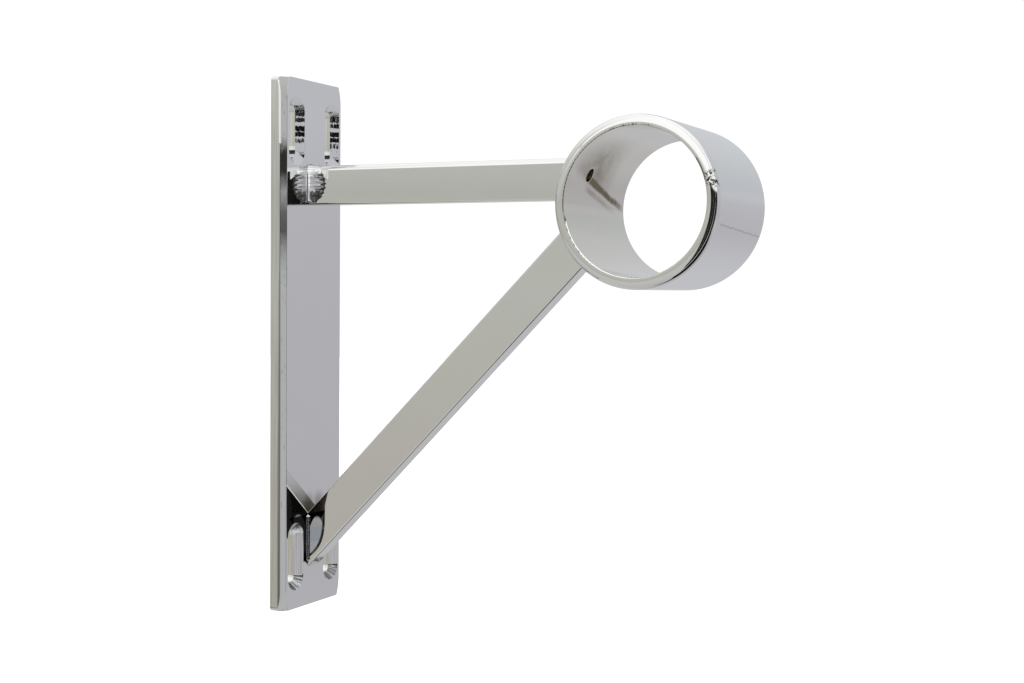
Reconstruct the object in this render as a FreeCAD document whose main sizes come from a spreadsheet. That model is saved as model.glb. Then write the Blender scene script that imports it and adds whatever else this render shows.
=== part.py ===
import FreeCAD, Part
import Sketcher
import math
import os

# A welded steel wall bracket that carries one curtain pole in a closed ring.
#
# An upright back plate is screwed to the wall through four countersunk slots. A level flat bar
# and a slanting brace of the same flat bar run from the plate to the ring and meet it side by
# side, one above the other. The pole passes through the ring, parallel to the wall, and a grub
# screw beside the arm holds it.
#
# Frame: the wall is the plane Y = 0 and the bracket stands out from it towards -Y. X runs along
# the pole, Z is up, and the origin is the middle of the back plate's wall face. Millimetres.

DRIVING_SIZES = [
    ("plate_height", 202.0),
    ("plate_width", 42.0),
    ("plate_thickness", 6.0),
    ("plate_bevel", 2.0),
    ("plate_corner_radius", 1.5),
    ("plate_edge_radius", 0.4),
    ("corner_rub_length", 7.5),
    ("corner_rub_radius", 25.0),
    ("slot_side_distance", 8.5),
    ("slot_end_distance", 20.0),
    ("slot_width", 5.5),
    ("slot_travel", 15.0),
    ("countersink_width", 10.8),
    ("bar_thickness", 8.0),
    ("bar_depth", 15.0),
    ("bar_edge_radius", 0.7),
    ("arm_top_radius", 2.0),
    ("arm_above_pole", 10.0),
    ("brace_foot_distance", 25.5),
    ("brace_aim_above_pole", 18.0),
    ("pole_projection", 148.0),
    ("pole_below_top", 50.0),
    ("pole_diameter", 50.0),
    ("pole_clearance", 0.3),
    ("ring_wall", 4.0),
    ("ring_length", 57.0),
    ("ring_rim_radius", 3.0),
    ("bore_rim_radius", 0.3),
    ("screw_diameter", 5.0),
    ("screw_length", 5.0),
    ("screw_offset", 10.5),
    ("screw_angle", 24.5),
    ("screw_setback", 1.2),
    ("screw_point_chamfer", 1.0),
    ("socket_width", 2.5),
    ("socket_depth", 2.2),
    ("arm_weld_along", 6.0),
    ("arm_weld_proud", 0.7),
    ("brace_weld_leg", 1.0),
    ("ring_weld_leg", 3.0),
]

SHEET_NAME = "Sizes"
CUT_MARGIN = 1.0


class Size:
    """A number in millimetres or degrees, with the sheet expression that gives it."""

    def __init__(self, value, text):
        self.value = value
        self.text = text

    def joined(self, other, sign, value):
        return Size(value, "(%s %s %s)" % (self.text, sign, other.text))

    def __add__(self, other):
        other = as_size(other)
        return self.joined(other, "+", self.value + other.value)

    def __sub__(self, other):
        other = as_size(other)
        return self.joined(other, "-", self.value - other.value)

    def __mul__(self, other):
        other = as_size(other)
        return self.joined(other, "*", self.value * other.value)

    def __truediv__(self, other):
        other = as_size(other)
        return self.joined(other, "/", self.value / other.value)

    def __neg__(self):
        return self * -1


def as_size(number):
    """A Size as it is, or a plain number made into one."""
    if isinstance(number, Size):
        return number
    return Size(float(number), "%.6g" % number)


def sine(angle):
    return Size(math.sin(math.radians(angle.value)), "sin(%s)" % angle.text)


def cosine(angle):
    return Size(math.cos(math.radians(angle.value)), "cos(%s)" % angle.text)


def arcsine(ratio):
    """The angle in plain degrees, so that it can be added to an angle of the sheet."""
    return Size(math.degrees(math.asin(ratio.value)), "(asin(%s) / 1deg)" % ratio.text)


def arctangent(ratio):
    return Size(math.degrees(math.atan(ratio.value)), "(atan(%s) / 1deg)" % ratio.text)


def make_sheet(document):
    """Writes the driving sizes into the sheet and returns them as Size values by name."""
    sheet = document.addObject("Spreadsheet::Sheet", SHEET_NAME)
    sizes = {}
    for row, (alias, value) in enumerate(DRIVING_SIZES, start=1):
        cell = "A%d" % row
        sheet.set(cell, str(value))
        sheet.setAlias(cell, alias)
        sizes[alias] = Size(value, "%s.%s" % (SHEET_NAME, alias))
    document.recompute()
    return sizes


document = FreeCAD.newDocument("curtain_pole_bracket")
size = make_sheet(document)

ring_bore_radius = size["pole_diameter"] / 2 + size["pole_clearance"]
ring_outer_radius = ring_bore_radius + size["ring_wall"]
bar_half_thickness = size["bar_thickness"] / 2
bar_half_depth = size["bar_depth"] / 2
bar_reach = size["pole_projection"] - ring_outer_radius / 2
plate_half_width = size["plate_width"] / 2
plate_half_height = size["plate_height"] / 2
slot_across = plate_half_width - size["slot_side_distance"]
slot_up = plate_half_height - size["slot_end_distance"]
pole_rise = plate_half_height - size["pole_below_top"]
arm_rise = pole_rise + size["arm_above_pole"]

# The middle line of the brace leaves the plate's front at its foot, and crosses the upright
# plane of the ring's axis a little above that axis.
brace_foot = size["brace_foot_distance"] - plate_half_height
brace_climb = pole_rise + size["brace_aim_above_pole"] - brace_foot
brace_slope = brace_climb / (size["pole_projection"] - size["plate_thickness"])
brace_angle = arctangent(brace_slope)
brace_half_cut = bar_half_depth / cosine(brace_angle)


def bind(thing, name, amount):
    """Sets a property from a Size and keeps it tied to the sheet."""
    setattr(thing, name, amount.value)
    thing.setExpression(name, amount.text)


def new_body(label):
    body = document.addObject("PartDesign::Body", label)
    body.Label = label
    body.Placement = FreeCAD.Placement()
    return body


def origin_plane(body, role):
    """One of the body's own origin planes, such as XY_Plane."""
    return next(item for item in body.Origin.OriginFeatures if item.Role == role)


def new_sketch(body, name, role, shift=(0, 0, 0), turn_axis=None, turn=None):
    """A sketch on an origin plane, moved and turned in that plane's own directions."""
    sketch = body.newObject("Sketcher::SketchObject", name)
    sketch.AttachmentSupport = [(origin_plane(body, role), "")]
    sketch.MapMode = "FlatFace"
    moves = [as_size(amount) for amount in shift]
    rotation = FreeCAD.Rotation()
    if turn is not None:
        rotation = FreeCAD.Rotation(FreeCAD.Vector(*turn_axis), turn.value)
    base = FreeCAD.Vector(*[amount.value for amount in moves])
    sketch.AttachmentOffset = FreeCAD.Placement(base, rotation)
    for letter, amount in zip("xyz", moves):
        sketch.setExpression(".AttachmentOffset.Base.%s" % letter, amount.text)
    if turn is not None:
        sketch.setExpression(".AttachmentOffset.Rotation.Angle", turn.text)
    return sketch


def dimension(sketch, kind, amount, *where):
    """A dimension in the sketch, tied to the sheet."""
    index = sketch.addConstraint(Sketcher.Constraint(kind, *where, amount.value))
    sketch.setExpression("Constraints[%d]" % index, amount.text)


def place_point(sketch, geometry, point, place):
    """Dimensions one point of the sketch from the sketch's origin."""
    for kind, amount in zip(("DistanceX", "DistanceY"), place):
        dimension(sketch, kind, as_size(amount), -1, 1, geometry, point)


def vector(place):
    return FreeCAD.Vector(as_size(place[0]).value, as_size(place[1]).value, 0)


def add_outline(sketch, corners):
    """A closed outline of straight lines with every corner dimensioned."""
    ends = corners[1:] + corners[:1]
    lines = [
        sketch.addGeometry(Part.LineSegment(vector(start), vector(end)))
        for start, end in zip(corners, ends)
    ]
    for before, after in zip(lines, lines[1:] + lines[:1]):
        sketch.addConstraint(Sketcher.Constraint("Coincident", before, 2, after, 1))
    for line, corner in zip(lines, corners):
        place_point(sketch, line, 1, corner)


def add_circle(sketch, centre, radius):
    circle = Part.Circle(vector(centre), FreeCAD.Vector(0, 0, 1), radius.value)
    index = sketch.addGeometry(circle)
    place_point(sketch, index, 3, centre)
    dimension(sketch, "Radius", radius, index)


def add_arc(sketch, centre, radius, start, end):
    """An arc from one angle to another, in degrees; returns its number in the sketch."""
    circle = Part.Circle(vector(centre), FreeCAD.Vector(0, 0, 1), radius.value)
    return sketch.addGeometry(
        Part.ArcOfCircle(circle, math.radians(start), math.radians(end))
    )


def add_slot(sketch, centre, travel, width):
    """An upright slot with round ends."""
    across, up = centre
    radius = width / 2
    high = (across, up + travel / 2)
    low = (across, up - travel / 2)
    top = add_arc(sketch, high, radius, 0, 180)
    bottom = add_arc(sketch, low, radius, 180, 360)
    left = sketch.addGeometry(
        Part.LineSegment(
            vector((across - radius, high[1])), vector((across - radius, low[1]))
        )
    )
    right = sketch.addGeometry(
        Part.LineSegment(
            vector((across + radius, low[1])), vector((across + radius, high[1]))
        )
    )
    joins = [(top, 2, left, 1), (left, 2, bottom, 1), (bottom, 2, right, 1), (right, 2, top, 1)]
    for join in joins:
        sketch.addConstraint(Sketcher.Constraint("Tangent", *join))
    sketch.addConstraint(Sketcher.Constraint("Equal", top, bottom))
    place_point(sketch, top, 3, high)
    place_point(sketch, bottom, 3, low)
    dimension(sketch, "Radius", radius, top)


def add_feature(body, kind, name, profile, **settings):
    feature = body.newObject("PartDesign::" + kind, name)
    feature.Profile = profile
    for key, value in settings.items():
        if isinstance(value, Size):
            bind(feature, key, value)
        else:
            setattr(feature, key, value)
    return feature


def cut_through(body, name, profile):
    """A pocket through everything on both sides of its sketch."""
    return add_feature(body, "Pocket", name, profile, Type="ThroughAll", Midplane=True)


def edges_where(feature, test):
    """Names of the feature's edges whose middle point and bounding box pass the test."""
    names = []
    for number, edge in enumerate(feature.Shape.Edges, start=1):
        if test(edge, edge.BoundBox):
            names.append("Edge%d" % number)
    if not names:
        raise RuntimeError("no edge found on " + feature.Label)
    return names


def near(value, target):
    return abs(value - target) < 1e-4


def break_edges(body, kind, name, base, test, amount):
    """A fillet or chamfer on the edges that pass the test."""
    document.recompute()
    feature = body.newObject("PartDesign::" + kind, name)
    feature.Base = (base, edges_where(base, test))
    bind(feature, "Radius" if kind == "Fillet" else "Size", amount)
    return feature


def make_back_plate():
    body = new_body("back_plate")
    thickness = size["plate_thickness"]
    bevel = size["plate_bevel"]

    front = new_sketch(body, "plate_front", "XZ_Plane")
    add_outline(front, [
        (-plate_half_width, -plate_half_height),
        (plate_half_width, -plate_half_height),
        (plate_half_width, plate_half_height),
        (-plate_half_width, plate_half_height),
    ])
    blank = add_feature(body, "Pad", "plate_blank", front, Length=thickness)
    break_edges(
        body, "Fillet", "plate_corners", blank,
        lambda edge, box: near(box.YLength, thickness.value) and near(box.XLength, 0),
        size["plate_corner_radius"],
    )

    section = new_sketch(body, "bevel_section", "XY_Plane")
    outside = plate_half_width + CUT_MARGIN
    for side in (-1, 1):
        add_outline(section, [
            ((plate_half_width - bevel - CUT_MARGIN) * side, -thickness - CUT_MARGIN),
            (outside * side, -thickness - CUT_MARGIN),
            (outside * side, -thickness + bevel + CUT_MARGIN),
        ])
    cut_through(body, "front_bevels", section)

    # The four front corners are rubbed back along a large arc where they were polished.
    turned = new_sketch(body, "corner_rub", "YZ_Plane", turn_axis=(0, 1, 0), turn=as_size(-45))
    bevel_plane = (plate_half_width + thickness - bevel) * (-math.sqrt(0.5))
    arc_start = plate_half_height - size["corner_rub_length"]
    beyond = plate_half_height + CUT_MARGIN
    for direction in (-1, 1):
        add_corner_rub(turned, bevel_plane, arc_start, beyond, direction)
    rub = cut_through(body, "rubbed_left_corners", turned)
    mirrored = body.newObject("PartDesign::Mirrored", "rubbed_right_corners")
    mirrored.Originals = [rub]
    mirrored.MirrorPlane = (origin_plane(body, "YZ_Plane"), [""])
    body.Tip = mirrored
    break_edges(
        body, "Fillet", "bevel_edges", mirrored,
        lambda edge, box: box.ZLength > plate_half_height.value
        and near(box.XLength, 0) and near(box.YLength, 0) and box.YMax < -CUT_MARGIN,
        size["plate_edge_radius"],
    )

    slots = new_sketch(body, "slot_outlines", "XZ_Plane")
    for across in (-1, 1):
        for up in (-1, 1):
            centre = (slot_across * across, slot_up * up)
            add_slot(slots, centre, size["slot_travel"], size["slot_width"])
    slotted = cut_through(body, "slots", slots)
    reach_across = size["slot_width"].value / 2 + 1e-3
    reach_up = (size["slot_travel"].value + size["slot_width"].value) / 2 + 1e-3
    break_edges(
        body, "Chamfer", "countersinks", slotted,
        lambda edge, box: near(box.YMin, -thickness.value) and near(box.YMax, -thickness.value)
        and abs(abs(box.Center.x) - slot_across.value) < reach_across
        and abs(abs(box.Center.z) - slot_up.value) < reach_up,
        (size["countersink_width"] - size["slot_width"]) / 2,
    )
    return body


def add_corner_rub(sketch, bevel_plane, arc_start, beyond, direction):
    """The outline that a rubbed corner loses, at the top (1) or the bottom (-1)."""
    radius = size["corner_rub_radius"]
    start = arc_start * direction
    end = beyond * direction
    centre = (bevel_plane + radius, start)
    sweep = math.degrees(math.asin((end.value - start.value) * direction / radius.value))
    angles = (180 - sweep, 180) if direction > 0 else (180, 180 + sweep)
    arc = add_arc(sketch, centre, radius, *angles)
    tangent_point = 2 if direction > 0 else 1
    far_point = 3 - tangent_point
    corner_low = (bevel_plane - CUT_MARGIN, start)
    corner_high = (bevel_plane - CUT_MARGIN, end)
    arc_far = radius.value * math.cos(math.radians(sweep))
    far_place = (bevel_plane.value + radius.value - arc_far, end.value)
    foot = sketch.addGeometry(Part.LineSegment(vector((bevel_plane, start)), vector(corner_low)))
    back = sketch.addGeometry(Part.LineSegment(vector(corner_low), vector(corner_high)))
    head = sketch.addGeometry(Part.LineSegment(vector(corner_high), vector(far_place)))
    joins = [(arc, tangent_point, foot, 1), (foot, 2, back, 1), (back, 2, head, 1),
             (head, 2, arc, far_point)]
    for join in joins:
        sketch.addConstraint(Sketcher.Constraint("Coincident", *join))
    sketch.addConstraint(Sketcher.Constraint("Horizontal", head))
    place_point(sketch, arc, 3, centre)
    place_point(sketch, foot, 1, (bevel_plane, start))
    place_point(sketch, back, 1, corner_low)
    place_point(sketch, back, 2, corner_high)


def cut_ring_seat(body):
    """Copes the end of a bar to the outside of the ring."""
    circle = new_sketch(body, body.Label + "_seat_circle", "YZ_Plane")
    add_circle(circle, (-size["pole_projection"], pole_rise), ring_outer_radius)
    cut_through(body, body.Label + "_seat", circle)


def make_top_arm():
    body = new_body("top_arm")
    section = new_sketch(
        body, "arm_section", "XZ_Plane", shift=(0, 0, size["plate_thickness"])
    )
    low = arm_rise - bar_half_depth
    high = arm_rise + bar_half_depth
    add_outline(section, [
        (-bar_half_thickness, low),
        (bar_half_thickness, low),
        (bar_half_thickness, high),
        (-bar_half_thickness, high),
    ])
    bar = add_feature(
        body, "Pad", "arm_bar", section, Length=bar_reach - size["plate_thickness"]
    )
    long_edge = bar_reach.value - size["plate_thickness"].value
    top = break_edges(
        body, "Fillet", "arm_top_edges", bar,
        lambda edge, box: near(box.YLength, long_edge) and near(box.ZMin, high.value),
        size["arm_top_radius"],
    )
    break_edges(
        body, "Fillet", "arm_bottom_edges", top,
        lambda edge, box: near(box.YLength, long_edge) and near(box.ZMax, low.value),
        size["bar_edge_radius"],
    )
    cut_ring_seat(body)
    return body


def make_brace():
    body = new_body("brace")
    outline = new_sketch(body, "brace_outline", "YZ_Plane")
    foot = -size["plate_thickness"]
    head = -bar_reach
    head_height = brace_foot + (bar_reach - size["plate_thickness"]) * brace_slope
    add_outline(outline, [
        (foot, brace_foot - brace_half_cut),
        (foot, brace_foot + brace_half_cut),
        (head, head_height + brace_half_cut),
        (head, head_height - brace_half_cut),
    ])
    bar = add_feature(
        body, "Pad", "brace_bar", outline, Length=size["bar_thickness"], Midplane=True
    )
    run = bar_reach.value - size["plate_thickness"].value
    break_edges(
        body, "Fillet", "brace_edges", bar,
        lambda edge, box: near(box.YLength, run),
        size["bar_edge_radius"],
    )
    cut_ring_seat(body)
    return body


def screw_sketch(body, name, height):
    """A sketch square to the grub screw, at a height above the ring's axis."""
    return new_sketch(
        body, name, "XY_Plane",
        shift=(-size["screw_offset"],
               height * cosine(size["screw_angle"]) - size["pole_projection"],
               height * sine(size["screw_angle"]) + pole_rise),
        turn_axis=(1, 0, 0), turn=size["screw_angle"] - 90,
    )


def make_pole_ring():
    body = new_body("pole_ring")
    axis_place = (-size["pole_projection"], pole_rise)
    section = new_sketch(body, "ring_section", "YZ_Plane")
    add_circle(section, axis_place, ring_outer_radius)
    add_circle(section, axis_place, ring_bore_radius)
    tube = add_feature(body, "Pad", "ring_tube", section, Length=size["ring_length"], Midplane=True)

    def rim(radius):
        return lambda edge, box: near(box.XLength, 0) and near(box.ZLength, 2 * radius.value)

    outer = break_edges(
        body, "Fillet", "outer_rims", tube, rim(ring_outer_radius), size["ring_rim_radius"]
    )
    break_edges(body, "Fillet", "bore_rims", outer, rim(ring_bore_radius), size["bore_rim_radius"])

    hole = screw_sketch(body, "screw_hole_circle", ring_outer_radius + CUT_MARGIN)
    add_circle(hole, (0, 0), size["screw_diameter"] / 2)
    add_feature(
        body, "Pocket", "screw_hole", hole, Length=size["ring_wall"] + CUT_MARGIN * 2
    )
    return body


def make_grub_screw():
    body = new_body("grub_screw")
    point = ring_bore_radius + size["screw_setback"]
    circle = screw_sketch(body, "screw_point_circle", point)
    add_circle(circle, (0, 0), size["screw_diameter"] / 2)
    blank = add_feature(body, "Pad", "screw_blank", circle, Length=size["screw_length"])
    point_centre = screw_point_centre(point)
    break_edges(
        body, "Chamfer", "screw_point", blank,
        lambda edge, box: edge.isClosed() and (edge.CenterOfMass - point_centre).Length < 1e-3,
        size["screw_point_chamfer"],
    )
    socket = screw_sketch(body, "socket_outline", point + size["screw_length"])
    add_hexagon(socket, size["socket_width"])
    add_feature(body, "Pocket", "screw_socket", socket, Length=size["socket_depth"])
    return body


def screw_point_centre(height):
    """The middle of the grub screw's inner end."""
    angle = math.radians(size["screw_angle"].value)
    return FreeCAD.Vector(
        -size["screw_offset"].value,
        height.value * math.cos(angle) - size["pole_projection"].value,
        height.value * math.sin(angle) + pole_rise.value,
    )


def add_hexagon(sketch, across_flats):
    """A hexagon about the sketch's origin, two of its corners on the horizontal axis."""
    corner = across_flats / math.sqrt(3)
    corners = []
    for step in range(6):
        angle = math.radians(60 * step)
        corners.append((corner * math.cos(angle), corner * math.sin(angle)))
    add_outline(sketch, corners)


def make_plate_weld(label, side, along, proud, low, high):
    """A bead in the corner between the plate and one side of a bar."""
    body = new_body(label)
    section = new_sketch(body, label + "_section", "XY_Plane", shift=(0, 0, low))
    face = -size["plate_thickness"]
    add_outline(section, [
        (bar_half_thickness * side, face),
        ((bar_half_thickness + proud) * side, face),
        (bar_half_thickness * side, face - along),
    ])
    add_feature(body, "Pad", label + "_bead", section, Length=high - low)
    return body


def make_ring_weld(label, side, start, end):
    """A bead in the corner between the ring and one side of a bar, round part of the ring."""
    body = new_body(label)
    section = new_sketch(
        body, label + "_section", "XY_Plane",
        shift=(0, -size["pole_projection"], pole_rise),
        turn_axis=(1, 0, 0), turn=start,
    )
    leg = size["ring_weld_leg"]
    add_outline(section, [
        (bar_half_thickness * side, ring_outer_radius),
        ((bar_half_thickness + leg) * side, ring_outer_radius),
        (bar_half_thickness * side, ring_outer_radius + leg),
    ])
    add_feature(
        body, "Revolution", label + "_bead", section,
        ReferenceAxis=(section, ["H_Axis"]), Angle=end - start,
    )
    return body


def make_welds():
    edge = size["bar_edge_radius"]
    weld_radius = ring_outer_radius + size["ring_weld_leg"]
    arm_low = arm_rise - bar_half_depth + edge
    arm_high = arm_rise + bar_half_depth - size["arm_top_radius"]
    arm_start = arcsine((arm_low - pole_rise) / ring_outer_radius)
    arm_end = arcsine((arm_high - pole_rise) / weld_radius)

    # The middle line of the brace passes this far above the ring's axis, square to the brace.
    axis_miss = size["brace_aim_above_pole"] * cosine(brace_angle)
    brace_low_line = axis_miss - bar_half_depth + edge
    brace_high_line = axis_miss + bar_half_depth - edge
    brace_start = arcsine(brace_low_line / ring_outer_radius) - brace_angle
    brace_end = arcsine(brace_high_line / weld_radius) - brace_angle
    leg = size["brace_weld_leg"]
    foot_trim = edge / cosine(brace_angle)
    foot_low = brace_foot - brace_half_cut + foot_trim + leg * brace_slope
    foot_high = brace_foot + brace_half_cut - foot_trim

    bodies = []
    for name, side in (("left", -1), ("right", 1)):
        bodies.append(make_plate_weld(
            "arm_plate_weld_" + name, side,
            size["arm_weld_along"], size["arm_weld_proud"], arm_low, arm_high,
        ))
        bodies.append(make_plate_weld(
            "brace_plate_weld_" + name, side, leg, leg, foot_low, foot_high,
        ))
        bodies.append(make_ring_weld("arm_ring_weld_" + name, side, arm_start, arm_end))
        bodies.append(make_ring_weld("brace_ring_weld_" + name, side, brace_start, brace_end))
    return bodies


def check_document():
    """Stops if any object failed, or if a cut took nothing away."""
    for item in document.Objects:
        if "Invalid" in item.State or "Error" in item.State:
            raise RuntimeError(item.Label + " is " + ", ".join(item.State))
        if item.TypeId == "PartDesign::Pocket":
            before = item.BaseFeature.Shape.Volume
            if item.Shape.Volume > before - 1e-3:
                raise RuntimeError(item.Label + " cuts nothing")


def export(bodies):
    os.makedirs("parts", exist_ok=True)
    for body in bodies:
        if body.Shape.isNull() or not body.Shape.isValid():
            raise RuntimeError(body.Label + " has no valid shape")
    for body in bodies:
        body.Shape.exportStep("parts/%s.step" % body.Label)
        print("%-24s %10.1f mm3" % (body.Label, body.Shape.Volume))


all_bodies = [
    make_back_plate(),
    make_top_arm(),
    make_brace(),
    make_pole_ring(),
    make_grub_screw(),
] + make_welds()
document.recompute()
check_document()
export(all_bodies)
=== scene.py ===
import math

import bpy
from mathutils import Matrix, Vector


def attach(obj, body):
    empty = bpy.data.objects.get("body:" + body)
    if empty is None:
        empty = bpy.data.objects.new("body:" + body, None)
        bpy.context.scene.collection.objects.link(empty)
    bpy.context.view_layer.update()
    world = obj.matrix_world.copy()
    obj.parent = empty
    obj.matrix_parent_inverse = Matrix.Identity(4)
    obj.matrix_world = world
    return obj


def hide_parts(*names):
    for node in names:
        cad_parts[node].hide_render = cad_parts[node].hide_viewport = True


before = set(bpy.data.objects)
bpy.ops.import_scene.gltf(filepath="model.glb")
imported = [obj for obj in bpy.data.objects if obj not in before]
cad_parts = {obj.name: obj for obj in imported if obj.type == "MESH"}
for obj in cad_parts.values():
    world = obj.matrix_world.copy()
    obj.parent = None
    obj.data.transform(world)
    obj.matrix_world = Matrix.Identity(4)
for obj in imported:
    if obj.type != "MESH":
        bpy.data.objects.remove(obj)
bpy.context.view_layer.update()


def grey(level, tint=(1.0, 1.0, 1.0)):
    """Linear colour of an 8-bit screen level, with a slight tint."""
    s = level / 255.0
    linear = s / 12.92 if s <= 0.04045 else ((s + 0.055) / 1.055) ** 2.4
    return tuple(linear * t for t in tint)


# Sizes of the part that the looks and the welds go by, in millimetres

MM = 0.001
PLATE_FACE = -6.0
PLATE_END = 101.0
SLOT_X, SLOT_Z, SLOT_TRAVEL = 12.5, 81.0, 7.5
BAR_SIDE, ARM_TOP, ARM_TOP_RADIUS = 4.0, 68.5, 2.0
ARM_BEAD_LOW, ARM_BEAD_REACH = 54.3, 7.4
ARM_BEAD_PITCH, ARM_BEAD_MIDDLE, ARM_BEAD_HALF = 1.75, 7.0, 7.6
BRACE_FOOT_LOW, BRACE_FOOT_HIGH = -84.184, -65.798
RING_AXIS_Y, RING_AXIS_Z, RING_RADIUS = -148.0, 51.0, 29.3
SCREW_HOLE_X, SCREW_HOLE_TURN = -10.5, 24.5     # its turn is in degrees round the ring's axis


# Camera, fitted to the photo's edges

CAMERA_PLACE = Vector((-0.5104, -0.3294, 0.0213))
CAMERA_YAW = math.radians(25.062)
CAMERA_PITCH = math.radians(-1.897)
CAMERA_ROLL = math.radians(0.441)
CAMERA_LENS = 54.37


def add_camera():
    forward = Vector((
        math.cos(CAMERA_YAW) * math.cos(CAMERA_PITCH),
        math.sin(CAMERA_YAW) * math.cos(CAMERA_PITCH),
        math.sin(CAMERA_PITCH),
    ))
    right = forward.cross(Vector((0, 0, 1))).normalized()
    up = right.cross(forward)
    turned_right = right * math.cos(CAMERA_ROLL) + up * math.sin(CAMERA_ROLL)
    turned_up = up * math.cos(CAMERA_ROLL) - right * math.sin(CAMERA_ROLL)
    data = bpy.data.cameras.new("camera")
    data.sensor_width = 36.0
    data.lens = CAMERA_LENS
    data.clip_start = 0.01
    data.clip_end = 50.0
    camera = bpy.data.objects.new("camera", data)
    bpy.context.scene.collection.objects.link(camera)
    camera.matrix_world = Matrix((
        (turned_right.x, turned_up.x, -forward.x, CAMERA_PLACE.x),
        (turned_right.y, turned_up.y, -forward.y, CAMERA_PLACE.y),
        (turned_right.z, turned_up.z, -forward.z, CAMERA_PLACE.z),
        (0, 0, 0, 1),
    ))
    bpy.context.scene.camera = camera


add_camera()
bpy.context.scene.view_settings.view_transform = "Standard"
bpy.context.scene.view_settings.look = "None"


class Graph:
    """Short names for building a shader out of nodes."""

    def __init__(self, tree):
        self.tree = tree
        tree.nodes.clear()

    def add(self, kind, **settings):
        node = self.tree.nodes.new("ShaderNode" + kind)
        for key, value in settings.items():
            setattr(node, key, value)
        return node

    def link(self, source, target):
        if isinstance(source, (int, float)):
            target.default_value = source
        elif isinstance(source, tuple):
            whole = len(source) == len(target.default_value)
            target.default_value = source if whole else (*source, 1.0)
        else:
            self.tree.links.new(source, target)

    def math(self, operation, a, b=0.0):
        node = self.add("Math", operation=operation)
        self.link(a, node.inputs[0])
        self.link(b, node.inputs[1])
        return node.outputs[0]

    def mix(self, factor, a, b):
        node = self.add("Mix", data_type="RGBA")
        self.link(factor, node.inputs["Factor"])
        self.link(a, node.inputs[6])
        self.link(b, node.inputs[7])
        return node.outputs[2]

    def ramp(self, value, stops):
        """A colour or a grey by value, from (place, colour)."""
        node = self.add("ValToRGB")
        elements = node.color_ramp.elements
        while len(elements) < len(stops):
            elements.new(0.5)
        for element, (place, colour) in zip(elements, stops):
            element.position = place
            element.color = (*(colour if isinstance(colour, tuple) else (colour,) * 3), 1.0)
        self.link(value, node.inputs[0])
        return node.outputs[0]

    def step(self, value, low, high):
        """0 below low, 1 above high, smooth between."""
        node = self.add("MapRange", interpolation_type="SMOOTHSTEP")
        self.link(value, node.inputs[0])
        node.inputs[1].default_value = low
        node.inputs[2].default_value = high
        return node.outputs[0]

    def fade(self, value, low, high):
        """1 below low, 0 above high, smooth between."""
        return self.invert(self.step(value, low, high))

    def window(self, value, low, high, soft):
        """1 between low and high, with soft edges."""
        return self.product(
            self.step(value, low - soft, low + soft), self.fade(value, high - soft, high + soft)
        )

    def noise(self, vector, scale, detail, rough=0.5):
        """Noise about 0.5 over a vector; scale is in spots per unit of the vector."""
        node = self.add("TexNoise")
        self.link(vector, node.inputs["Vector"])
        node.inputs["Scale"].default_value = scale
        node.inputs["Detail"].default_value = detail
        node.inputs["Roughness"].default_value = rough
        return node.outputs[0]

    def stretched(self, scale):
        """Object coordinates multiplied axis by axis."""
        node = self.add("Mapping")
        self.link(self.place(), node.inputs[0])
        node.inputs["Scale"].default_value = scale
        return node.outputs[0]

    def place(self):
        return self.add("TexCoord").outputs["Object"]

    def split(self, vector):
        node = self.add("SeparateXYZ")
        self.link(vector, node.inputs[0])
        return node.outputs

    def total(self, *terms):
        value = terms[0]
        for term in terms[1:]:
            value = self.math("ADD", value, term)
        return value

    def product(self, *terms):
        value = terms[0]
        for term in terms[1:]:
            value = self.math("MULTIPLY", value, term)
        return value

    def less(self, value, amount):
        return self.math("SUBTRACT", value, amount)

    def over(self, value, amount):
        return self.math("DIVIDE", value, amount)

    def most(self, a, b):
        return self.math("MAXIMUM", a, b)

    def invert(self, value):
        return self.less(1.0, value)

    def size(self, value):
        return self.math("ABSOLUTE", value)

    def distance(self, a, b):
        return self.math("SQRT", self.total(self.product(a, a), self.product(b, b)))

    def between(self, value, low, high):
        """Noise about 0.5 spread from low to high."""
        node = self.add("MapRange")
        self.link(value, node.inputs[0])
        for target, limit in zip(node.inputs[1:5], (0.35, 0.65, low, high)):
            target.default_value = limit
        return node.outputs[0]

    def join(self, x, y, z):
        node = self.add("CombineXYZ")
        for value, target in zip((x, y, z), node.inputs):
            self.link(value, target)
        return node.outputs[0]

    def millimetres(self):
        """The object's own x, y and z in millimetres."""
        return tuple(self.product(value, 1000.0) for value in self.split(self.place()))

    def facing(self):
        """The x, y and z of the direction a face looks in."""
        return self.split(self.add("NewGeometry").outputs["True Normal"])

    def leaning(self, x, y, z):
        """The surface's normal leant a little by a vector."""
        add = self.add("VectorMath", operation="ADD")
        self.link(self.add("NewGeometry").outputs["Normal"], add.inputs[0])
        self.link(self.join(x, y, z), add.inputs[1])
        unit = self.add("VectorMath", operation="NORMALIZE")
        self.link(add.outputs[0], unit.inputs[0])
        return unit.outputs[0]

    def bump(self, height, normal=None):
        """Bump from a height in millimetres."""
        node = self.add("Bump")
        node.inputs["Strength"].default_value = 1.0
        node.inputs["Distance"].default_value = MM
        self.link(height, node.inputs["Height"])
        if normal is not None:
            self.link(normal, node.inputs["Normal"])
        return node.outputs[0]


# Studio: a pale room with a dark opening on the camera's side. The chrome mirrors it by direction.

MIRROR = 0.70       # what the polished plate gives back
STORED = 0.5        # share at which the room is kept in ramps, which hold nothing above 1
BACKDROP = 1.05     # what the camera itself sees behind the bracket
FULL_TURN, TURN_START = 360.0, 260.0


def room(level, tint):
    """What the room must be for the chrome to show a screen level."""
    return tuple(c / MIRROR for c in grey(level, tint))


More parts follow.
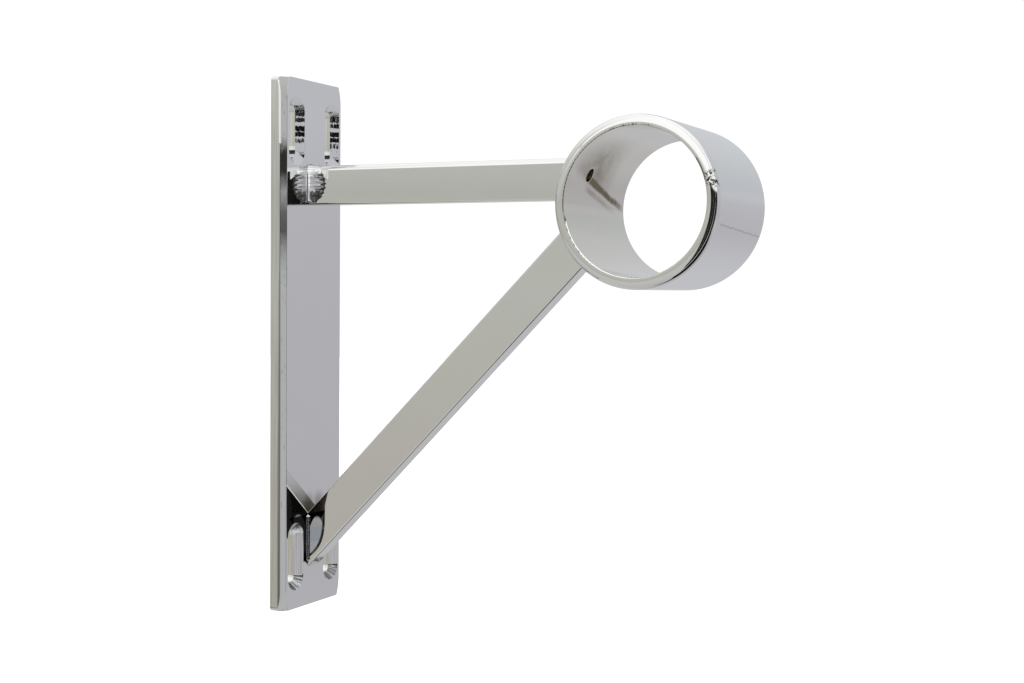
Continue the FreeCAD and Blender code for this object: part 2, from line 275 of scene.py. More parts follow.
def add_world():
    world = bpy.data.worlds.new("studio")
    bpy.context.scene.world = world
    world.use_nodes = True
    g = Graph(world.node_tree)
    x, y, z = g.split(g.add("TexCoord").outputs["Generated"])
    elevation = g.product(g.math("ARCSINE", z), 180 / math.pi)
    azimuth = g.product(g.math("ARCTAN2", y, x), 180 / math.pi)
    height = g.over(g.total(elevation, 90), 180)

    def room_ramp(stops):
        """A colour by elevation, from (degrees, screen red, green, blue)."""
        return g.ramp(height, [
            ((place + 90) / 180, tuple(STORED / MIRROR * grey(level)[0] for level in levels))
            for place, *levels in stops
        ])

    def bound(stops):
        """An azimuth by elevation, from (elevation, azimuth)."""
        value = g.ramp(height, [
            ((place + 90) / 180, (turn + TURN_START) / FULL_TURN) for place, turn in stops
        ])
        return g.less(g.product(value, FULL_TURN), TURN_START)

    wall_side = room_ramp([
        (-90, 180, 178, 176), (-66, 180, 179, 177), (-54, 184, 184, 181), (-17, 184, 184, 180),
        (-11, 171, 169, 161), (-7, 173, 170, 163), (0, 178, 179, 172), (2.5, 177, 178, 170),
        (3.4, 171, 172, 165), (4.6, 180, 181, 175), (7, 186, 187, 181), (14, 187, 188, 183),
        (23, 190, 191, 187), (34, 220, 221, 218), (42, 235, 236, 234), (59, 245, 246, 245),
        (90, 250, 250, 250),
    ])
    far_side = room_ramp([
        (-90, 180, 178, 176), (-66, 180, 179, 177), (-54, 184, 184, 181), (-17, 186, 186, 182),
        (-11, 171, 169, 161), (-7, 173, 170, 163), (0, 178, 179, 172), (2.5, 177, 178, 170),
        (3.4, 171, 172, 165), (4.6, 180, 181, 175), (6, 186, 187, 181), (8.5, 200, 201, 197),
        (12, 236, 237, 234), (16, 250, 250, 249), (90, 254, 254, 254),
    ])
    front = room_ramp([
        (-90, 180, 178, 178), (-54, 168, 167, 169), (-37, 167, 166, 168), (-30, 174, 173, 175),
        (-18, 179, 180, 183), (-9, 171, 170, 175), (-3, 173, 172, 177), (2.6, 175, 175, 180),
        (6, 182, 183, 188), (9, 178, 181, 185), (14, 180, 184, 187), (19, 186, 188, 191),
        (30, 186, 188, 191), (42, 198, 199, 201), (55, 236, 237, 238), (65, 249, 249, 250),
        (90, 252, 252, 252),
    ])
    # The room by direction: towards the wall, before the plate, and the rest
    behind = g.window(azimuth, 25, 143, 6)
    before = g.window(azimuth, -95, 25, 6)
    colour = g.mix(before, g.mix(behind, far_side, wall_side), front)

    # The dark opening, of two depths, with a thin bright gap
    turned = g.less(azimuth, g.product(g.math("GREATER_THAN", azimuth, 100.0), FULL_TURN))
    left = bound([
        (-90, -100), (-60, -132), (-51, -146), (-40, -152), (-30, -158), (-20, -165), (-11, -172),
        (-4, -178), (0, -180), (90, -180),
    ])
    right = bound([
        (-90, 40), (-75, 20), (-68, 0), (-60, -34), (-54, -52), (-45, -66), (-30, -90), (-24, -97),
        (90, -98),
    ])
    opening = g.product(
        g.step(g.less(turned, left), -3, 3), g.fade(g.less(turned, right), -9, 9),
        g.window(elevation, -78, 10.6, 1.3),
    )
    gap = g.product(g.window(azimuth, -148.6, -148.05, 0.1), g.step(elevation, 5.6, 5.3))
    opening = g.product(opening, g.invert(gap))
    depths = g.mix(
        g.window(azimuth, -168, -138, 8),
        tuple(STORED * c for c in room(20, (1.0, 1.05, 0.82))),
        tuple(STORED * c for c in room(38, (1.0, 1.02, 0.95))),
    )
    colour = g.mix(opening, colour, depths)

    # An upright slit in it, which the plate's near bevel mirrors
    steep = g.most(g.less(g.size(elevation), 7.0), 0.0)
    slit = g.product(
        g.step(azimuth, -125.4, -125.0),
        g.fade(g.less(azimuth, g.product(steep, 0.14)), -122.5, -122.1),
    )
    slit_colour = room_ramp([
        (-90, 178, 178, 178), (0.4, 170, 172, 172), (1.05, 158, 162, 162), (1.5, 138, 139, 140),
        (1.72, 102, 102, 104), (2.2, 77, 76, 78), (2.8, 92, 93, 95), (3.05, 147, 147, 149),
        (4.0, 148, 148, 150), (4.14, 52, 51, 51), (4.45, 34, 32, 30), (4.9, 46, 44, 40),
        (5.38, 24, 24, 22), (5.47, 130, 130, 131), (5.6, 173, 173, 175), (9, 171, 171, 169),
        (90, 200, 200, 200),
    ])
    colour = g.mix(slit, colour, slit_colour)

    seen = g.add("Background")
    g.link(colour, seen.inputs[0])
    seen.inputs[1].default_value = 1 / STORED
    white = g.add("Background")
    white.inputs[0].default_value = (1, 1, 1, 1)
    white.inputs[1].default_value = BACKDROP
    chooser = g.add("MixShader")
    g.link(g.add("LightPath").outputs["Is Camera Ray"], chooser.inputs[0])
    g.link(seen.outputs[0], chooser.inputs[1])
    g.link(white.outputs[0], chooser.inputs[2])
    g.link(chooser.outputs[0], g.add("OutputWorld").inputs[0])


add_world()


def add_material(name):
    material = bpy.data.materials.new(name)
    material.use_nodes = True
    g = Graph(material.node_tree)
    shader = g.add("BsdfPrincipled")
    g.link(shader.outputs[0], g.add("OutputMaterial").inputs[0])
    return material, g, shader


def add_object(name, points, faces, smooth=True):
    mesh = bpy.data.meshes.new(name)
    mesh.from_pydata([tuple(p) for p in points], [], faces)
    mesh.validate()
    if smooth:
        mesh.polygons.foreach_set("use_smooth", [True] * len(mesh.polygons))
    piece = bpy.data.objects.new(name, mesh)
    bpy.context.scene.collection.objects.link(piece)
    return piece


# Floor

FLOOR_HALF, FLOOR_HEIGHT = 3, -0.16


def add_floor():
    corners = ((-1, -1), (1, -1), (1, 1), (-1, 1))
    points = [(FLOOR_HALF * a, FLOOR_HALF * b, FLOOR_HEIGHT) for a, b in corners]
    piece = add_object("floor", points, [(0, 1, 2, 3)], smooth=False)
    material, g, shader = add_material("pale_floor")
    shader.inputs["Roughness"].default_value = 0.9
    shader.inputs["Emission Strength"].default_value = 0.35
    shader.inputs["Emission Color"].default_value = (1, 1, 1, 1)
    spots = g.noise(g.place(), 3.0, 3.0)
    g.link(g.mix(spots, (0.90, 0.90, 0.90), (0.94, 0.94, 0.94)), shader.inputs["Base Color"])
    piece.data.materials.append(material)
    piece.visible_glossy = False


add_floor()


# Chrome

SMOOTH = 0.02, 0.05         # roughness of polished chrome, from and to
PLAIN = (0.69, 0.69, 0.69), (0.71, 0.71, 0.71)
WHITE = (1.0, 1.0, 1.0)
FLAT = 0.97, 0.99           # how squarely a face looks along an axis to count as one of its flats


def polished(g):
    """Clouds and faint wipe marks of polished plate, as two values about 0.5, and its roughness."""
    cloud = g.noise(g.place(), 90.0, 3.0)
    wipes = g.noise(g.stretched((1.0, 1.0, 0.06)), 900.0, 2.0)
    smooth = g.between(g.total(g.product(cloud, 0.6), g.product(wipes, 0.4)), *SMOOTH)
    return cloud, wipes, smooth


def finish_metal(g, shader, colour, roughness, normal):
    shader.inputs["Metallic"].default_value = 1.0
    g.link(colour, shader.inputs["Base Color"])
    g.link(roughness, shader.inputs["Roughness"])
    g.link(normal, shader.inputs["Normal"])


def make_plate_chrome():
    material, g, shader = add_material("plate_chrome")
    x, y, z = g.millimetres()
    nx, ny, nz = g.facing()
    cloud, wipes, smooth = polished(g)

    # Where a point lies, from the middles of the four slots
    upper = g.step(z, 0, 1)
    lower = g.invert(upper)
    across = g.less(g.size(x), SLOT_X)
    along = g.less(g.size(z), SLOT_Z)
    upward = g.less(z, g.total(g.product(upper, 2 * SLOT_Z), -SLOT_Z))
    rise = g.step(upward, -6.0, 6.0)
    signed = g.less(x, g.total(g.product(g.step(x, -1, 1), 2 * SLOT_X), -SLOT_X))
    at_slot = g.product(
        g.fade(g.size(across), 5.3, 5.45), g.fade(g.size(along), 12.8, 13.0), g.fade(y, -0.25, -0.05),
    )
    sloped = g.product(at_slot, g.window(ny, -0.9, -0.3, 0.02))
    cone = g.product(sloped, g.step(g.size(nz), 0.05, 0.12))
    slope = g.product(sloped, g.fade(g.size(nz), 0.05, 0.12))
    wall = g.product(at_slot, g.step(ny, -0.3, -0.2))
    side = g.step(g.size(nx), *FLAT)
    face = g.step(g.product(ny, -1.0), *FLAT)
    bevel = g.product(g.step(g.size(x), 18.8, 19.1), g.window(ny, -0.95, -0.3, 0.03))

    # Chatter on the straight slopes of the upper countersinks, in bands one above the other
    lowest, span = 76.0, 16.0
    ragged = g.noise(g.join(g.product(x, 1.6), 0.0, g.product(z, 1.1)), 1.0, 3.0)
    place = g.over(g.less(g.total(z, g.product(g.less(ragged, 0.5), 1.3)), lowest), span)
    hatch = g.noise(g.join(g.product(x, 3.4), 0.0, g.product(z, 0.4)), 1.0, 2.0)
    biting = g.ramp(place, [
        (0.02, 0.0), (0.07, 0.55), (0.15, 0.55), (0.19, 0.0), (0.215, 1.0), (0.30, 1.0),
        (0.325, 0.15), (0.345, 1.0), (0.44, 1.0), (0.47, 0.0), (0.535, 0.0), (0.56, 0.8),
        (0.64, 0.8), (0.665, 0.1), (0.70, 0.75), (0.86, 0.85), (0.93, 0.75), (0.98, 0.0),
    ])
    biting = g.step(g.total(biting, g.product(hatch, 2.2), -1.1), 0.15, 0.75)
    biting = g.product(biting, upper, g.step(g.product(nx, -1.0), 0.25, 0.45))

    # Tool marks: along the slots, round their ends and across the bevels
    streaks = g.noise(g.join(g.product(x, 2.4), g.product(y, 2.4), g.product(z, 0.05)), 1.0, 3.0)
    turn = g.math("ARCTAN2", across, g.less(g.size(along), SLOT_TRAVEL))
    spokes = g.noise(g.join(g.product(turn, 3.2), g.product(nz, 0.6), upper), 1.0, 2.0)
    rings = g.noise(g.join(across, g.size(along), 0.0), 1.4, 2.0)
    blotch = g.noise(g.join(x, y, g.product(z, 0.12)), 1.6, 2.0)
    height = g.total(
        g.product(spokes, cone, lower, g.total(0.12, g.product(g.invert(rise), 0.78))),
        g.product(rings, cone, 0.05),
        g.product(streaks, wall, 0.04), g.product(streaks, slope, lower, 0.05),
        g.product(streaks, side, 0.012), g.product(blotch, bevel, 0.008), g.product(wipes, 0.0012),
    )

    # What leans: the slopes to the light, the chatter off the bright slit, arches and top edges up
    edge = g.product(g.step(g.size(x), 20.5, 20.7), g.window(y, -4.4, -3.3, 0.12))
    top_edge = g.product(edge, g.step(z, 75.6, 76.0), g.step(ny, 0.02, -0.05))
    lit = g.product(
        g.most(slope, cone), g.invert(biting), g.most(upper, g.step(upward, -7.7, -7.45)),
    )
    lean_x = g.product(sloped, biting, -0.045)
    lean_y = g.total(g.product(lit, -0.95), g.product(sloped, biting, 0.045))
    lean_z = g.total(
        g.product(top_edge, 0.22), g.product(cone, lower, g.step(upward, 7.0, 12.0), 0.7),
    )

    # The sides' mill streaks, the countersinks and the slots' walls
    sides = g.ramp(streaks, [
        (0.30, (0.54, 0.54, 0.53)), (0.5, (0.63, 0.63, 0.61)), (0.72, (0.72, 0.72, 0.69)),
    ])
    # Lower countersinks: milling spokes painted dark and light as reflection, and their upper part
    # painted near white as a highlight
    cup_marks_and_reflection = g.ramp(spokes, [
        (0.38, (0.13, 0.13, 0.13)), (0.52, (0.38, 0.39, 0.40)), (0.70, (0.78, 0.79, 0.79)),
    ])
    cup_marks_and_reflection = g.mix(rise, cup_marks_and_reflection, (0.93, 0.94, 0.94))
    walls = g.ramp(streaks, [(0.3, (0.56, 0.56, 0.53)), (0.7, (0.80, 0.80, 0.78))])
    slopes = g.ramp(streaks, [(0.3, (0.56, 0.56, 0.54)), (0.7, (0.78, 0.78, 0.77))])
    colour = g.mix(side, g.mix(cloud, *PLAIN), sides)
    colour = g.mix(cone, colour, g.mix(upper, cup_marks_and_reflection, (0.72, 0.72, 0.73)))
    colour = g.mix(wall, colour, walls)
    colour = g.mix(g.product(slope, lower), colour, slopes)

    # Painted reflections at the lower ends of the upper slots: black wedges and bands, white glints,
    # and the walls painted grey below them
    painted_dark_wedge = g.product(
        cone, g.step(g.total(signed, g.product(z, 0.55)), 43.6, 44.1),
        g.window(z, 69.0, 73.6, 0.3), upper,
    )
    painted_glint = g.product(wall, g.window(z, 74.2, 75.6, 0.15))
    painted_black_reflection = g.most(g.product(wall, g.window(z, 72.6, 74.1, 0.15)), painted_dark_wedge)
    colour = g.mix(g.product(wall, g.window(z, 60.0, 72.9, 0.15)), colour, (0.44, 0.44, 0.45))
    colour = g.mix(painted_glint, colour, WHITE)
    colour = g.mix(painted_black_reflection, colour, (0.03, 0.03, 0.03))

    # Darker along the bevels' outer edges, the more so lower down, and in a line at the foot of the
    # sides
    dark_edges = g.total(
        g.product(edge, g.ramp(g.over(g.total(z, PLATE_END), 2 * PLATE_END), [
            (0.0, 0.70), (0.35, 0.45), (0.60, 0.18), (0.72, 0.0),
        ])),
        g.product(side, g.window(z, -100.2, -99.5, 0.15), 0.8),
    )
    colour = g.mix(dark_edges, colour, (0.10, 0.10, 0.09))

    # Painted brown shade in the corner above the brace's foot, and a black reflection of the brace
    # painted on the plate beside the foot
    corner = g.distance(g.over(g.less(g.size(x), 3.5), 5.0), g.over(g.total(z, 62.5), 5.5))
    corner = g.product(g.fade(corner, 0.1, 1.25), face, g.fade(y, -5.9, -5.5))
    colour = g.mix(g.product(corner, 0.75), colour, (0.26, 0.235, 0.20))
    limit = g.most(7.6, g.total(17.0, g.product(g.total(z, 66.0), 1.2)))
    painted_darkness = g.product(
        face, g.window(z, -84.0, -65.8, 0.4), g.fade(g.less(g.size(x), limit), -0.6, 0.6),
    )
    colour = g.mix(painted_darkness, colour, (0.012, 0.012, 0.010))
    roughness = g.total(
        g.product(smooth, g.invert(g.product(bevel, 0.8))), g.product(cone, 0.14),
        g.product(wall, 0.10), g.product(slope, lower, 0.10), g.product(side, 0.03),
    )
    finish_metal(g, shader, colour, roughness, g.bump(height, g.leaning(lean_x, lean_y, lean_z)))
    return material


def make_bar_chrome():
    material, g, shader = add_material("bar_chrome")
    x, y, z = g.millimetres()
    nx, _, nz = g.facing()
    cloud, _, smooth = polished(g)
    lengthways = g.noise(g.join(x, g.product(y, 0.04), z), 1.3, 2.0)
    colour = g.mix(
        g.total(g.product(cloud, 0.5), g.product(lengthways, 0.5)),
        (0.675, 0.68, 0.68), (0.725, 0.72, 0.715),
    )
    # A brown reflection painted on the brace's upward faces low down by the plate
    foot = g.product(g.step(nz, 0.3, 0.6), g.fade(z, -64.5, -52), g.fade(y, -5, -4))
    colour = g.mix(g.product(foot, 0.95), colour, (0.15, 0.13, 0.10))

    # The bars' sides beside the plate: pulled by the weld's heat out to a curved border
    side = g.step(g.size(nx), *FLAT)
    arm = g.step(z, 40, 42)
    depth = g.less(g.size(y), -PLATE_FACE)
    widest, drop = -62.0, 20.8
    below = g.over(g.most(g.less(widest, z), 0.0), drop)
    above = g.most(g.total(z, -widest), 0.0)
    border = g.total(7.7, g.product(above, 0.26), g.product(below, below, below, below, -7.7))
    past = g.less(depth, border)
    pulled = g.most(arm, g.step(past, -0.15, 0.25))
    pulled = g.product(pulled, side, g.fade(depth, 9.5, 12.5))

    # Within the border on the brace, a pale lens painted as reflection, under an arch painted near
    # black as reflection
    off = g.less(depth, 4.2)
    lens = g.less(g.total(z, g.product(off, off, 0.41)), -66.3)
    lens = g.product(side, g.fade(lens, -0.4, 0.2), g.fade(past, -1.25, -0.85), g.step(depth, 0.7, 1.1))
    painted_dark_arch = g.product(
        side, g.invert(arm), g.fade(past, -0.3, 0.15), g.fade(z, -53, -47),
        g.most(g.step(z, -67.8, -65.4), g.step(past, -1.15, -0.75)),
    )
    colour = g.mix(lens, colour, g.ramp(g.over(g.total(z, 84.0), 18.0), [
        (0.0, (0.60, 0.60, 0.60)), (0.42, (0.56, 0.58, 0.59)), (0.47, (0.46, 0.51, 0.54)),
        (0.72, (0.45, 0.50, 0.52)), (0.77, (0.51, 0.52, 0.50)), (1.0, (0.58, 0.58, 0.57)),
    ]))
    colour = g.mix(g.product(painted_dark_arch, 0.88), colour, (0.045, 0.043, 0.036))

    # A bright flare beside the arm's bead, under its top edge
    brow = g.total(z, g.product(depth, 0.68))
    flare = g.product(arm, side, g.step(brow, 69.0, 69.5), g.window(depth, 3.6, 8.3, 0.35))
    lean_y = g.total(
        g.product(g.over(-0.72, g.most(depth, 2.6)), pulled),
        g.product(lens, g.total(-1.75, g.product(g.step(z, -76, -68), -0.25))),
    )
    normal = g.bump(g.product(cloud, 0.01), g.leaning(0.0, lean_y, g.product(flare, 0.8)))
    finish_metal(g, shader, colour, smooth, normal)
    return material


def make_ring_chrome():
    material, g, shader = add_material("ring_chrome")
    x, y, z = g.millimetres()
    cloud, _, smooth = polished(g)
    out_y = g.total(y, -RING_AXIS_Y)
    out_z = g.less(z, RING_AXIS_Z)
    radius = g.distance(out_y, out_z)
    turn = g.product(g.math("ARCTAN2", out_z, out_y), 180 / math.pi)
    inside = g.fade(radius, 25.5, 25.9)
    outside = g.step(radius, 28.9, 29.2)
    front_rim = g.fade(x, -27.0, -25.5)

    def drift(scale, reach):
        """A wander to and fro along the ring."""
        wander = g.noise(g.join(g.product(x, scale), 0.0, 0.0), 1.0, 2.0)
        return g.product(g.less(wander, 0.5), reach)

    # A brown streak and patch painted as reflection across the bore, from the set screw's hole
    line = g.less(turn, g.less(12.4, g.product(x, 0.54)))
    line = g.total(line, drift(0.12, 3.0))
    streak_span = g.product(g.step(x, -13, -6), g.fade(x, 20, 30))
    dark_streak = g.product(g.window(line, 1.0, 6.0, 1.6), streak_span)
    faint_streak = g.product(g.window(line, -6.5, -1.8, 1.8), streak_span, g.fade(x, 6, 22))
    halo_x = g.total(x, 7.5)
    hole_x = g.total(x, -SCREW_HOLE_X)
    hole_turn = g.less(turn, SCREW_HOLE_TURN)
    spread = g.math("SQRT", g.total(
        g.product(halo_x, halo_x), g.product(hole_turn, hole_turn, 0.30),
    ))
    halo = g.product(g.fade(spread, 2.0, 26.0), g.step(line, -3.0, 6.0))
    mottled = g.between(g.noise(g.place(), 260.0, 3.0), 0.8, 1.15)
    painted_streak = g.math("MINIMUM", g.product(
        inside, mottled,
        g.total(g.product(dark_streak, 0.98), g.product(faint_streak, 0.42), g.product(halo, 0.62)),
    ), 1.0)
    from_hole = g.math("SQRT", g.total(
        g.product(hole_x, hole_x), g.product(hole_turn, hole_turn, 0.195),
    ))
    ring_of_hole = g.product(inside, g.fade(from_hole, 2.7, 3.5))

    # A faint seam along the outside and pits on the front rim
    round_turn = g.total(turn, g.product(g.math("LESS_THAN", turn, 0.0), FULL_TURN))
    seam = g.less(round_turn, g.total(197.6, g.product(x, 0.105), drift(0.22, 3.2)))
    seam = g.product(outside, g.fade(g.size(seam), 0.25, 0.8), g.step(x, -26, -22))
    pitted = g.product(
        front_rim, g.window(turn, 159.5, 170.5, 1.5), g.step(radius, 25.6, 25.9),
        g.step(g.noise(g.place(), 1100.0, 3.0, 0.6), 0.50, 0.56),
    )

    # Along the bore's edge: a shadow beside the pits, a painted highlight low down, nicks on top
    shadow = g.product(
        g.fade(x, -27.8, -27.4), g.window(radius, 25.0, 25.95, 0.1), g.window(turn, 147, 165, 2),
    )
    painted_edge_highlight = g.product(
        g.fade(x, -27.5, -27.2), g.fade(radius, 25.5, 25.6), g.window(turn, -84, -12, 5),
    )
    nicks = g.product(
        g.fade(x, -27.9, -27.4), g.fade(radius, 25.75, 26.0), g.window(turn, 70, 104, 5),
        g.step(g.noise(g.product(turn, 0.5), 1.0, 1.0), 0.50, 0.56),
    )

    warm = g.mix(g.noise(g.place(), 45.0, 2.0), (0.63, 0.605, 0.555), (0.665, 0.65, 0.61))
    colour = g.mix(inside, g.mix(cloud, *PLAIN), warm)
    colour = g.mix(painted_streak, colour, (0.165, 0.135, 0.075))
    colour = g.mix(g.product(ring_of_hole, 0.5), colour, (0.66, 0.58, 0.46))
    colour = g.mix(g.product(seam, 0.55), colour, (0.30, 0.30, 0.33))
    colour = g.mix(pitted, colour, (0.06, 0.05, 0.035))
    colour = g.mix(g.product(g.most(nicks, shadow), 0.8), colour, (0.12, 0.11, 0.10))
    colour = g.mix(painted_edge_highlight, colour, (0.74, 0.74, 0.73))
    roughness = g.total(
        smooth, g.product(painted_streak, 0.30), g.product(inside, 0.06), g.product(pitted, 0.3),
    )
    height = g.total(g.product(pitted, 0.05), g.product(seam, -0.02), g.product(cloud, 0.004))
    normal = g.bump(height, g.leaning(g.product(painted_edge_highlight, -0.9), 0.0, 0.0))
    finish_metal(g, shader, colour, roughness, normal)
    return material


def make_weld_chrome():
    """Chrome over weld metal. The arm's beads lean up to the light, with dark reflections painted in
    their hollows and shade painted along their roots.
    """
    material, g, shader = add_material("weld_chrome")
    x, y, z = g.millimetres()
    frost = g.noise(g.place(), 1500.0, 3.0)
    depth = g.less(g.size(y), -PLATE_FACE)
    hand = g.step(x, -1, 1)
    body = g.product(g.step(z, 50, 52), g.fade(depth, 9, 10))

    # How far it is to the toe, where painted dark reflections stand in tongues as far apart as the
    # bead's ripples
    middle = g.over(g.size(g.less(z, ARM_BEAD_LOW + ARM_BEAD_MIDDLE)), ARM_BEAD_HALF)
    far = g.math("SQRT", g.most(0.2, g.invert(g.math("POWER", middle, 1.8))))
    to_toe = g.less(g.product(far, ARM_BEAD_REACH), depth)
    broken = g.noise(g.join(g.product(z, 0.9), hand, g.product(depth, 0.35)), 1.0, 3.0)
    lick = g.math("SINE", g.product(
        g.total(z, g.product(broken, 0.9)), 2 * math.pi / ARM_BEAD_PITCH,
    ))
    tongue = g.math("POWER", g.total(0.5, g.product(lick, 0.5)), 3.0)
    length = g.total(0.6, g.product(g.step(broken, 0.36, 0.60), 3.0))
    reach = g.total(0.8, g.product(tongue, length))
    painted_darkness = g.fade(g.less(to_toe, reach), -0.5, 0.6)

    # Low down the dark reflection is painted over the whole bead, a thin line of painted shade runs up
    # the root, and fine painted dark ridges cross the top
    upright = g.noise(g.join(g.product(z, 0.35), hand, g.product(depth, 1.1)), 1.0, 2.0)
    low = g.product(
        g.fade(g.total(z, g.product(upright, 7.0)), 61.8, 63.2),
        g.window(depth, 0.8, 5.2, 0.4), g.step(upright, 0.26, 0.46), 0.95,
    )
    root = g.product(g.fade(g.size(depth), 0.12, 0.3), 0.85)
    painted_darkness = g.most(g.most(painted_darkness, low), root)
    ridges = g.math("SINE", g.product(g.total(z, g.product(broken, 1.4)), 2 * math.pi / 0.95))
    ridges = g.product(
        g.step(ridges, 0.55, 0.95), g.step(z, 62.8, 64.5), g.step(to_toe, 0.8, 2.4), 0.55,
    )
    painted_darkness = g.product(g.most(g.product(painted_darkness, g.fade(z, 65.0, 66.2)), ridges), body)

    # Painted light on the bead: near white over its crown and along a strip by the root as painted
    # highlights, darker towards the toe as painted shade
    painted_crown_highlight = g.step(g.total(z, g.product(lick, 0.25)), 63.4, 66.3)
    painted_strip_highlight = g.product(g.window(depth, 0.35, 0.95, 0.2), g.step(z, 58.5, 61.5))
    pale = g.mix(g.step(to_toe, 0.6, 2.6), (0.28, 0.28, 0.29), (0.50, 0.50, 0.52))
    pale = g.mix(g.most(painted_crown_highlight, painted_strip_highlight), pale, (0.97, 0.97, 0.97))
    colour = g.mix(frost, (0.68, 0.68, 0.70), (0.74, 0.74, 0.76))
    colour = g.mix(body, colour, pale)
    colour = g.mix(g.product(painted_darkness, 0.95), colour, (0.02, 0.02, 0.018))
    roughness = g.total(0.08, g.product(frost, 0.08))
    height = g.product(frost, g.total(0.008, g.product(body, -0.006)))
    normal = g.bump(height, g.leaning(0.0, 0.0, g.product(body, 0.8)))
    finish_metal(g, shader, colour, roughness, normal)
    return material


def make_screw_steel():
    """Blackened steel with a brown bloom."""
    material, g, shader = add_material("screw_steel")
    bloom = g.noise(g.place(), 700.0, 3.0)
    colour = g.ramp(bloom, [(0.35, (0.045, 0.034, 0.022)), (0.60, (0.24, 0.18, 0.11))])
    finish_metal(g, shader, colour, g.between(bloom, 0.35, 0.55), g.bump(g.product(bloom, 0.03)))
    return material


finishes = {
    "plate_chrome": make_plate_chrome(),
    "bar_chrome": make_bar_chrome(),
    "ring_chrome": make_ring_chrome(),
    "weld_chrome": make_weld_chrome(),
    "screw_steel": make_screw_steel(),
}
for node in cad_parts.values():
    for holder in node.material_slots:
        holder.material = finishes[holder.name.split(".")[0]]


# Welds

def grid_faces(rows, columns):
    """Faces of a closed bead: the outer sheet, then the back sheet, joined along all four sides."""
    count = rows * columns
    faces = []
    for i in range(rows - 1):
        for j in range(columns - 1):
            a = i * columns + j
            b, c, d = a + 1, a + columns + 1, a + columns
            faces.append((a, b, c, d))
            faces.append((d + count, c + count, b + count, a + count))
    last = (rows - 1) * columns
    for j in range(columns - 1):
        for a, b in ((j, j + 1), (last + j + 1, last + j)):
            faces.append((b, a, a + count, b + count))
    for start in range(0, last, columns):
        end = start + columns
        for a, b in ((end, start), (end - 1, end + columns - 1)):
            faces.append((b, a, a + count, b + count))
    return faces


def bead(name, node, sheet, back, rows, columns, side):
    """A bead from two functions that give a point of its outside and of its back."""
    points = [
        Vector(surface(i / (rows - 1), j / (columns - 1))) * MM
        for surface in (sheet, back) for i in range(rows) for j in range(columns)
    ]
    faces = grid_faces(rows, columns)
    if side < 0:
        faces = [tuple(reversed(f)) for f in faces]
    piece = add_object(name, points, faces)
    piece.data.materials.append(finishes["weld_chrome"])
    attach(piece, "root")
    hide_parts(node)


def wobble(value, seed):
    """A small repeatable wander between -1 and 1."""
    return (
        math.sin(value * 1.7 + seed * 2.1) * 0.5 + math.sin(value * 3.9 + seed * 5.3) * 0.3
        + math.sin(value * 7.3 + seed * 1.3) * 0.2
    )


def eased(value, width):
    """0 at 0, rising smoothly to 1 at width."""
    t = max(0.0, min(1.0, value / width))
    return t * t * (3 - 2 * t)


def faded_ends(u, width):
    """1 along a bead from u = 0 to 1, falling to 0 within width of either end."""
    return eased(u, width) * eased(1 - u, width)


def word(side):
    return "left" if side < 0 else "right"


def arm_plate_bead(side, seed):
    """The rippled bead at the root of the arm: up the bar's side and over its rounded top edge."""
    straight = ARM_TOP - ARM_TOP_RADIUS - ARM_BEAD_LOW
    whole = straight + ARM_TOP_RADIUS * math.pi / 2
    leg, ripple = 0.95, 0.045

    def on_bar(along):
        """Place and outward direction on the bar's section, as (x, z) and (nx, nz)."""
        if along <= straight:
            return (BAR_SIDE, ARM_BEAD_LOW + along), (1.0, 0.0)
        turn = (along - straight) / ARM_TOP_RADIUS
        nx, nz = math.cos(turn), math.sin(turn)
        centre_x, centre_z = BAR_SIDE - ARM_TOP_RADIUS, ARM_TOP - ARM_TOP_RADIUS
        return (centre_x + ARM_TOP_RADIUS * nx, centre_z + ARM_TOP_RADIUS * nz), (nx, nz)

    def reach(along):
        """How far the bead runs out along the bar: widest just below the middle."""
        least = 0.2 + 0.3 * eased(along - ARM_BEAD_MIDDLE, 4.0)
        round_off = 1 - abs((along - ARM_BEAD_MIDDLE) / ARM_BEAD_HALF) ** 1.8
        phase = 2 * math.pi * along / ARM_BEAD_PITCH + 0.9 + 1.6 * wobble(along, seed)
        return ARM_BEAD_REACH * math.sqrt(max(least, round_off)) + 0.3 * math.sin(phase)

    def sheet(u, v):
        along = whole * u
        (x, z), (nx, nz) = on_bar(along)
        out = reach(along)
        crescent = along + 0.9 * v * v
        wave = math.sin(2 * math.pi * crescent / ARM_BEAD_PITCH + 0.9 * wobble(along, seed))
        fold = 2 * abs(math.sin(math.pi * crescent / ARM_BEAD_PITCH + 0.4)) - 1
        deep = ripple * eased(v - 0.22, 0.4) * (1 - eased(v - 0.6, 0.4))
        lift = leg * (1 - v) ** 1.9 + 0.12 * (1 - v) + deep * (0.5 * wave + 0.5 * fold)
        lift = max(0.0, lift * faded_ends(u, 0.05))
        return (side * (x + nx * lift), PLATE_FACE - out * v, z + nz * lift)

    def back(u, v):
        (x, z), _ = on_bar(whole * u)
        return (side * x, PLATE_FACE - reach(whole * u) * v, z)

    bead(
        "rippled_arm_weld_" + word(side), "arm_plate_weld_" + word(side),
        sheet, back, 170, 56, side,
    )


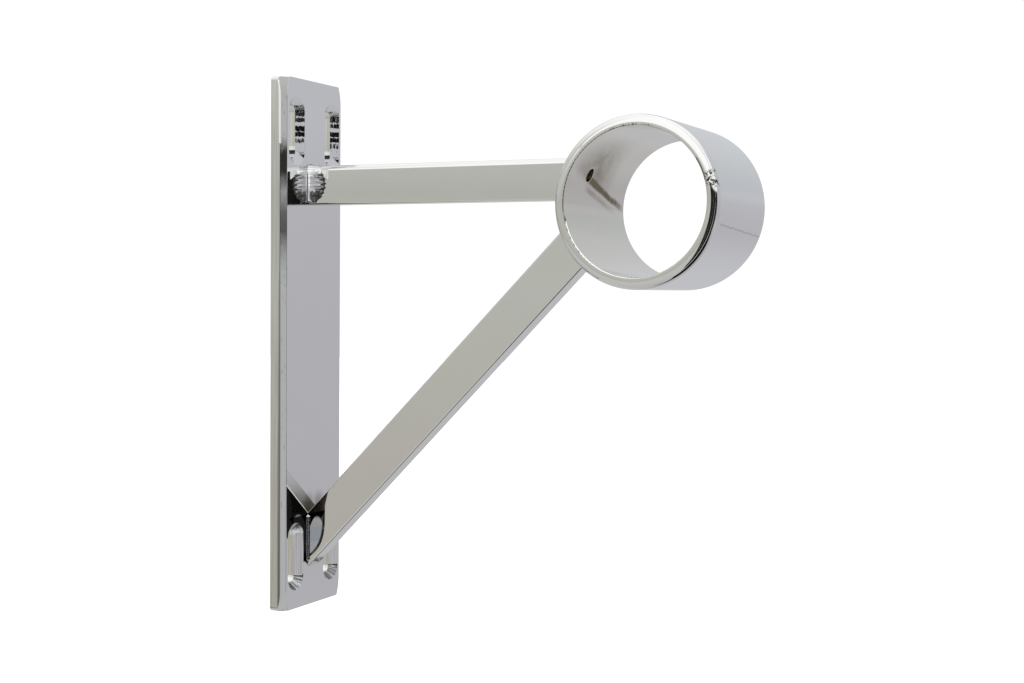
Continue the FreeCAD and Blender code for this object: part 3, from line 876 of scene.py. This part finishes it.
def brace_plate_bead(side, seed):
    """The small dressed bead in the corner between the plate and the brace."""
    leg, pitch = 1.0, 1.3

    def height(u):
        return BRACE_FOOT_LOW + (BRACE_FOOT_HIGH - BRACE_FOOT_LOW) * u

    def sheet(u, v):
        z = height(u)
        ends = faded_ends(u, 0.05)
        crescent = z + 0.3 * math.sin(math.pi * v)
        ripple = 0.006 * math.sin(2 * math.pi * crescent / pitch + wobble(z, seed))
        swell = (0.10 + ripple) * math.sin(math.pi * v)
        size = (leg + 0.05 * wobble(z * 0.9, seed)) * ends
        x = BAR_SIDE + size * (1 - v) ** 1.25 + swell * ends
        y = PLATE_FACE - size * v ** 1.25 - swell * ends
        return (side * x, y, z)

    def back(u, v):
        z = height(u)
        size = leg * faded_ends(u, 0.05)
        bend = abs(2 * v - 1)
        if v < 0.5:
            return (side * (BAR_SIDE + size * bend), PLATE_FACE, z)
        return (side * BAR_SIDE, PLATE_FACE - size * bend, z)

    bead(
        "dressed_brace_weld_" + word(side), "brace_plate_weld_" + word(side),
        sheet, back, 120, 13, side,
    )


def ring_bead(bar, side, seed, start, end):
    """A bead in the corner between a bar's side and the ring, round part of the ring."""
    leg, pitch = 3.0, 1.7
    length = math.radians(end - start) * RING_RADIUS

    def ends(u):
        return 0.25 + 0.75 * eased(u, 0.13) * eased(1 - u, 0.13)

    def place(turn, x, radius):
        angle = math.radians(turn)
        return (
            side * x, RING_AXIS_Y + radius * math.cos(angle), RING_AXIS_Z + radius * math.sin(angle),
        )

    def sheet(u, v):
        along = length * u
        size = leg * ends(u) * (1 + 0.03 * wobble(along * 0.8, seed) - 0.03)
        crescent = along + 0.7 * math.sin(math.pi * v)
        ripple = 0.09 * abs(math.sin(math.pi * crescent / pitch + 0.5 * wobble(along, seed))) - 0.05
        swell = ripple * math.sin(math.pi * v) ** 0.6 * ends(u)
        x = BAR_SIDE + size * (1 - v) ** 1.3 + swell
        radius = RING_RADIUS + size * v ** 1.3 + swell
        return place(start + (end - start) * u, x, radius)

    def back(u, v):
        size = leg * ends(u) * abs(2 * v - 1) * 0.98
        turn = start + (end - start) * u
        if v < 0.5:
            return place(turn, BAR_SIDE + size, RING_RADIUS)
        return place(turn, BAR_SIDE, RING_RADIUS + size)

    bead(
        "ring_bead_%s_%s" % (bar, word(side)), "%s_ring_weld_%s" % (bar, word(side)),
        sheet, back, 110, 17, side,
    )


ARM_ARC = 6.27, 28.68           # where the bars meet the ring, in degrees round its axis
BRACE_ARC = -34.05, -8.55

for side, seed in ((-1, 0.4), (1, 2.7)):
    arm_plate_bead(side, seed)
    brace_plate_bead(side, seed + 1.1)
    ring_bead("arm", side, seed + 3.2, *ARM_ARC)
    ring_bead("brace", side, seed + 4.6, *BRACE_ARC)
